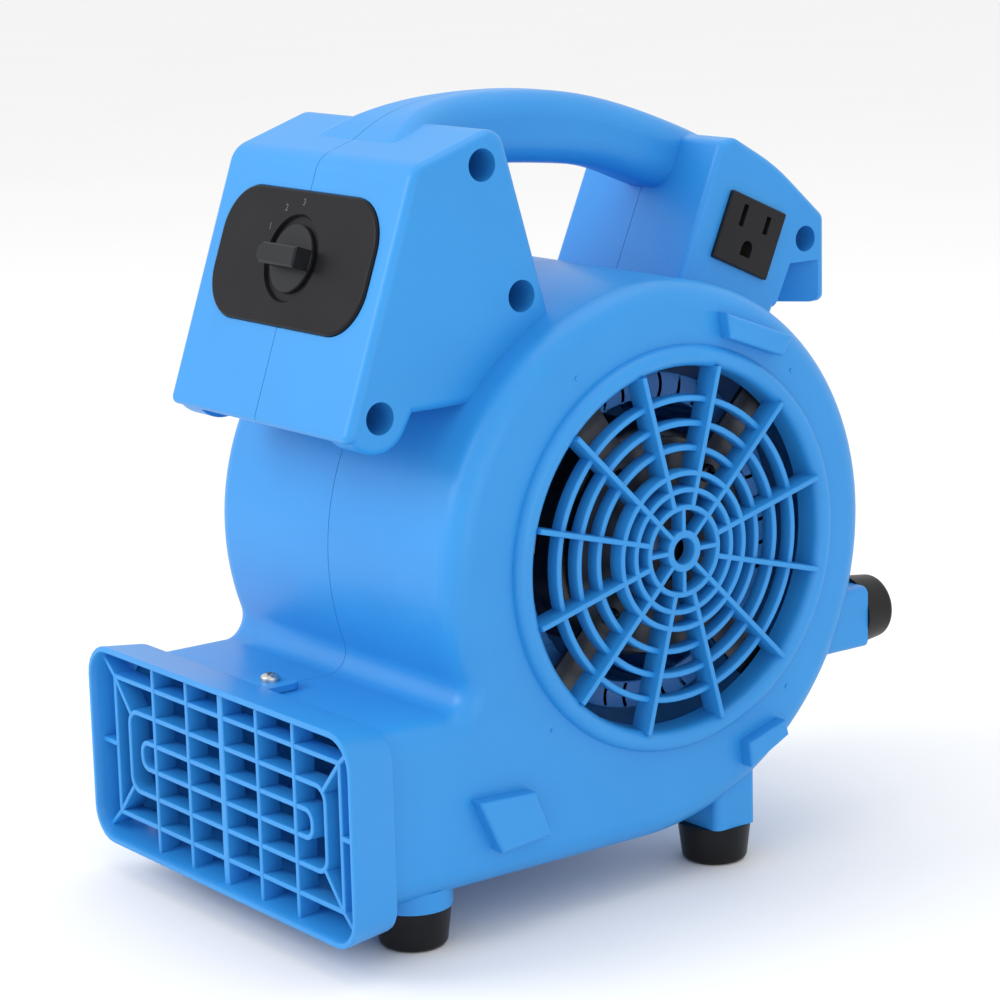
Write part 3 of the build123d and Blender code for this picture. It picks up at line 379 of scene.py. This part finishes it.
def pan_head(radius, height, shank_r, shank):
    """One screw along +Z, the underside of its head at the origin, with a cross recess cut in."""
    centre = 0.1 * mm
    dome = [(radius * cos(radians(a)), height * (0.35 + 0.65 * sin(radians(a))))
            for a in range(0, 90, 12)]
    outline = [(centre, -shank), (shank_r * 0.6, -shank), (shank_r, -shank + shank_r * 0.5),
               (shank_r, 0), (radius, 0), *dome, (centre, height)]
    mesh = lathe(outline, 40)
    bmesh.ops.remove_doubles(mesh, verts=mesh.verts, dist=0.00012)
    bmesh.ops.recalc_face_normals(mesh, faces=mesh.faces)
    screw = bpy.data.objects.new("screw", plain_mesh(mesh, "screw"))
    cutter = bmesh.new()
    # two crossed blocks, one a hair longer so that no two of their faces coincide
    for turn in (0, 90):
        slot = Matrix.Translation((0, 0, height)) @ Matrix.Rotation(radians(turn), 4, "Z")
        bmesh.ops.create_cube(cutter, size=1, matrix=slot @ Matrix.Diagonal(
            (radius * (1.1 + turn / 4000), radius * 0.24, height * 0.9, 1)))
    cross = bpy.data.objects.new("cross", plain_mesh(cutter, "cross"))
    for thing in (screw, cross):
        bpy.context.scene.collection.objects.link(thing)
    cut = screw.modifiers.new("recess", "BOOLEAN")
    cut.object, cut.operation, cut.solver, cut.use_self = cross, "DIFFERENCE", "EXACT", True
    made = bpy.data.meshes.new_from_object(screw.evaluated_get(bpy.context.evaluated_depsgraph_get()))
    bpy.data.objects.remove(screw)
    bpy.data.objects.remove(cross)
    return made


def screw_set(name, node, slot, head, places):
    """Copies of one screw, each at its place and turned its own way."""
    tree = Tree(name)
    screw = tree.parts.pop()
    for shift, turn in places:
        tree.parts.append(tree.moved(screw, shift, turn))
    made = tree.mesh(head, zinc)
    smooth(made)
    return place_piece(made, name, zinc, "blower", slot, node)


def in_middle(node):
    low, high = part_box(node)
    return (low + high) / 2


# how far each case screw stands behind the fan axis, and its height
posts = [(-69.5, 273.3), (-53.6, 225.9), (-115.9, 190.3), (100.5, 229.3)]
seat_x = 24.05 * mm
screw_set("case_screws", "housing_screws", "zinc_screw",
          pan_head(3.9 * mm, 2.6 * mm, 2.0 * mm, 37 * mm),
          [((seat_x, (axis_y + y) * mm, z * mm), (0, radians(90), 0)) for y, z in posts])
lip_low, lip_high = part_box("outlet_screws")
lip_y = in_middle("outlet_screws").y
head_h = 2.7 * mm
screw_set("frame_screws", "outlet_screws", "zinc_screw",
          pan_head(3.6 * mm, head_h, 1.5 * mm, 8 * mm),
          [((0, lip_y, lip_high.z - head_h), (0, 0, radians(35))),
           ((0, lip_y, lip_low.z + head_h), (pi, 0, radians(20)))])
finish_with(zinc, "foot_screws", "switch_nut")

# ---- Rubber feet -------------------------------------------------------------------------------
# Six black moulded cups, four below and two behind, each on its own blue seat.
black_rubber = moulded("black_foot_rubber", (0.010, 0.010, 0.011), (0.007, 0.007, 0.008), 0.38,
                       700, 0.03, 60, shine=0.2)
finish_with(black_rubber, "foot_front_right", "foot_front_left", "foot_rear_right",
            "foot_rear_left", "foot_back_right", "foot_back_left")

# ---- Speed switch ------------------------------------------------------------------------------
# A charcoal plate let into the leaning face, with a dished middle, a grip-bar knob and the marks
# of a four-place rotary switch. The switch itself hangs behind the plate on its own nut.
charcoal = moulded("charcoal_plate_plastic", (0.008, 0.008, 0.010), (0.006, 0.006, 0.008), 0.36,
                   1100, 0.02, 40, coat=0.04, shine=0.12)
knob_grey = moulded("knob_grey_plastic", (0.014, 0.015, 0.018), (0.011, 0.012, 0.014), 0.40,
                    1100, 0.03, 60, shine=0.18)
nylon = moulded("cream_nylon", (0.55, 0.52, 0.44), (0.47, 0.45, 0.38), 0.5, 500, 0.02, 60)
finish_with(charcoal, "switch_plate")
finish_with(knob_grey, "speed_knob")
finish_with(nylon, "rotary_switch", "switch_shaft", "terminal_block")
lean = radians(19.4)
face_foot = Vector((0, (axis_y - 129.8) * mm, 184 * mm))
up_face = Vector((0, sin(lean), cos(lean)))
out_face = Vector((0, -cos(lean), sin(lean)))
knob_middle = face_foot + up_face * 58.7 * mm
mark_ring, mark_lift = 20.4 * mm, 1.24 * mm
face_turn = Matrix((Vector((1, 0, 0)), up_face, out_face)).transposed().to_4x4()
mark_paint = moulded("mark_paint", (0.10, 0.10, 0.11), (0.08, 0.08, 0.09), 0.5, 600, 0.01, 60)
marks = bmesh.new()
for number in range(4):
    text = bpy.data.curves.new("mark", "FONT")
    text.body = str(number)
    text.size = 3.6 * mm
    text.align_x, text.align_y = "CENTER", "CENTER"
    text.extrude = 0.06 * mm
    worker = bpy.data.objects.new("mark", text)
    bpy.context.scene.collection.objects.link(worker)
    flat = bpy.data.meshes.new_from_object(worker.evaluated_get(bpy.context.evaluated_depsgraph_get()))
    a = radians(180 - 30 * number)
    flat.transform(Matrix.Translation((mark_ring * cos(a), mark_ring * sin(a), mark_lift)))
    marks.from_mesh(flat)
    bpy.data.objects.remove(worker)
marks.transform(Matrix.Translation(knob_middle) @ face_turn)
place_piece(plain_mesh(marks, "marks"), "dial_marks", mark_paint, "blower", "switch_nylon")

# ---- Power socket, reset breaker and cord gland ------------------------------------------------
# Dark moulded fittings of the rear box: a grounded socket on the right-hand side, a push-to-reset
# breaker on the left-hand side and the gland in the roof of the pocket behind.
socket_grey = moulded("socket_grey_plastic", (0.014, 0.014, 0.016), (0.011, 0.011, 0.013), 0.45,
                      1000, 0.03, 60, shine=0.2)
gloss_black = moulded("button_black_plastic", (0.014, 0.014, 0.015), (0.010, 0.010, 0.011), 0.2,
                      600, 0.01, 60)
brass = plated("stamped_brass", (0.78, 0.58, 0.25), 0.3)
finish_with(socket_grey, "power_socket", "reset_breaker", "cord_gland", "gland_nut")
finish_with(gloss_black, "reset_button")
finish_with(brass, "socket_contacts")

# ---- Motor and its bracket ---------------------------------------------------------------------
# A small induction motor between two cast aluminium covers, hung on a galvanised four-armed spider
# that is screwed to pillars behind the right-hand side plate. The covers, the hub and the spider are
# given near-black colours as painted shade of the dark inside of the housing.
# cast aluminium and galvanised sheet darkened nearly to black: painted shade inside the housing
shade_darkened_cast = plated("cast_aluminium_painted_shade", (0.13, 0.13, 0.135), 0.5)
shade_darkened_galvanised = plated("galvanised_sheet_painted_shade", (0.10, 0.105, 0.11), 0.45, 120)
laminated = plated("laminated_steel", (0.16, 0.16, 0.17), 0.5, 1500)
enamelled = plated("enamelled_copper", (0.60, 0.22, 0.06), 0.35, 1200)
ground_steel = plated("ground_steel", (0.56, 0.57, 0.58), 0.25, 600)
black_steel = plated("black_oxide_steel", (0.05, 0.05, 0.055), 0.4)
finish_with(shade_darkened_cast, "motor_cover_inner", "motor_cover_outer", "impeller_hub")
finish_with(shade_darkened_galvanised, "motor_bracket")
finish_with(laminated, "stator_core", "rotor_core")
finish_with(enamelled, "stator_winding_inner", "stator_winding_outer")
finish_with(ground_steel, "bearing_inner", "bearing_outer", "motor_shaft", "balance_clip")
finish_with(black_steel, "hub_set_screw", "bracket_screws", "motor_screws", "motor_spacers")

# ---- Impeller ----------------------------------------------------------------------------------
# A double squirrel cage in darker blue nylon: forty curved blades each side of a centre disc,
# tied by a hoop at each mouth.
fan_blue = moulded("fan_blue_nylon", (0.040, 0.200, 0.560), (0.032, 0.170, 0.480), 0.45, 500, 0.02, 60)
blades, cage = 40, 58.0 * mm
rim, inner = 63.0 * mm, 53.0 * mm


def cage_disc():
    """The centre disc, as a flat ring with eased edges."""
    thick = 1.2 * mm
    return [(11.2 * mm, -thick), (rim - 0.4 * mm, -thick), (rim, -0.6 * thick), (rim, 0.6 * thick),
            (rim - 0.4 * mm, thick), (11.2 * mm, thick)]


tree = Tree("impeller_cage", blade_thickness=1.4 * mm, blade_length=2 * cage)
arc = tree.add("GeometryNodeCurveArc", Resolution=7, Radius=9.0 * mm, Start_Angle=radians(243.4),
               Sweep_Angle=radians(63.5))
blade = tree.add("GeometryNodeCurveToMesh", Curve=arc.outputs[0])
section = tree.add("GeometryNodeCurvePrimitiveQuadrilateral")
tree.group.links.new(tree.start.outputs["blade_thickness"], section.inputs["Width"])
tree.group.links.new(tree.start.outputs["blade_length"], section.inputs["Height"])
tree.group.links.new(section.outputs[0], blade.inputs["Profile Curve"])
blade.inputs["Fill Caps"].default_value = True
tree.parts.append(tree.spin(tree.moved(blade.outputs[0], (57.0 * mm, 8.0 * mm, 0)), blades))
for end in (-1, 1):
    ring = tree.add("GeometryNodeCurvePrimitiveCircle", Resolution=80, Radius=(rim + inner) / 2)
    hoop = tree.bar(ring.outputs[0], rim - inner, 2.2 * mm, 0.5 * mm)
    tree.parts.append(tree.moved(hoop, (0, 0, end * (cage - 1.1 * mm))))
cage_mesh = tree.mesh(plain_mesh(lathe(cage_disc(), 80), "disc"), fan_blue, fan_axis, right_side)
smooth(cage_mesh)
place_piece(cage_mesh, "fan_cage", fan_blue, "rotor", "blue_fan", "impeller")

# ---- Capacitor and wiring ----------------------------------------------------------------------
# A moulded run capacitor and a terminal strip inside the switch box, with two insulated leads
# that cross to the rear box through the hollow grip.
can_black = moulded("capacitor_case", (0.06, 0.06, 0.065), (0.05, 0.05, 0.055), 0.4, 500, 0.02, 60)
lead_skin = moulded("lead_insulation", (0.02, 0.02, 0.02), (0.014, 0.014, 0.014), 0.45, 500, 0.02, 60)
finish_with(can_black, "capacitor")
finish_with(lead_skin, "handle_leads")

# ---- Studio ------------------------------------------------------------------------------------
# A plain pale floor, a bright even sky, and large soft lights at the front left, on the right and
# overhead.
floor_mesh = bmesh.new()
bmesh.ops.create_grid(floor_mesh, x_segments=1, y_segments=1, size=12)
floor = bpy.data.objects.new("floor", plain_mesh(floor_mesh, "floor"))
floor.data.materials.append(moulded("floor_paper", (0.90, 0.90, 0.90), (0.89, 0.89, 0.89), 0.8,
                                    200, 0.0, 4))
bpy.context.scene.collection.objects.link(floor)
floor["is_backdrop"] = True
world = bpy.data.worlds.new("studio")
world.use_nodes = True
world.node_tree.nodes["Background"].inputs["Color"].default_value = (1.0, 1.0, 1.0, 1)
world.node_tree.nodes["Background"].inputs["Strength"].default_value = 1.0
bpy.context.scene.world = world


def softbox(name, spot, size, power):
    lamp = bpy.data.lights.new(name, "AREA")
    lamp.energy = power
    lamp.size = size
    box = bpy.data.objects.new(name, lamp)
    aim = Vector((0, 0, 0.14)) - Vector(spot)
    box.matrix_world = Matrix.Translation(spot) @ aim.to_track_quat("-Z", "Y").to_matrix().to_4x4()
    bpy.context.scene.collection.objects.link(box)


softbox("key", (-0.7, -1.5, 1.1), 1.0, 14)
softbox("fill", (1.6, -0.6, 0.3), 1.0, 4)
softbox("top", (0.1, 0.2, 1.7), 1.2, 5)
bpy.context.scene.view_settings.view_transform = "Standard"

low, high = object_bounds()
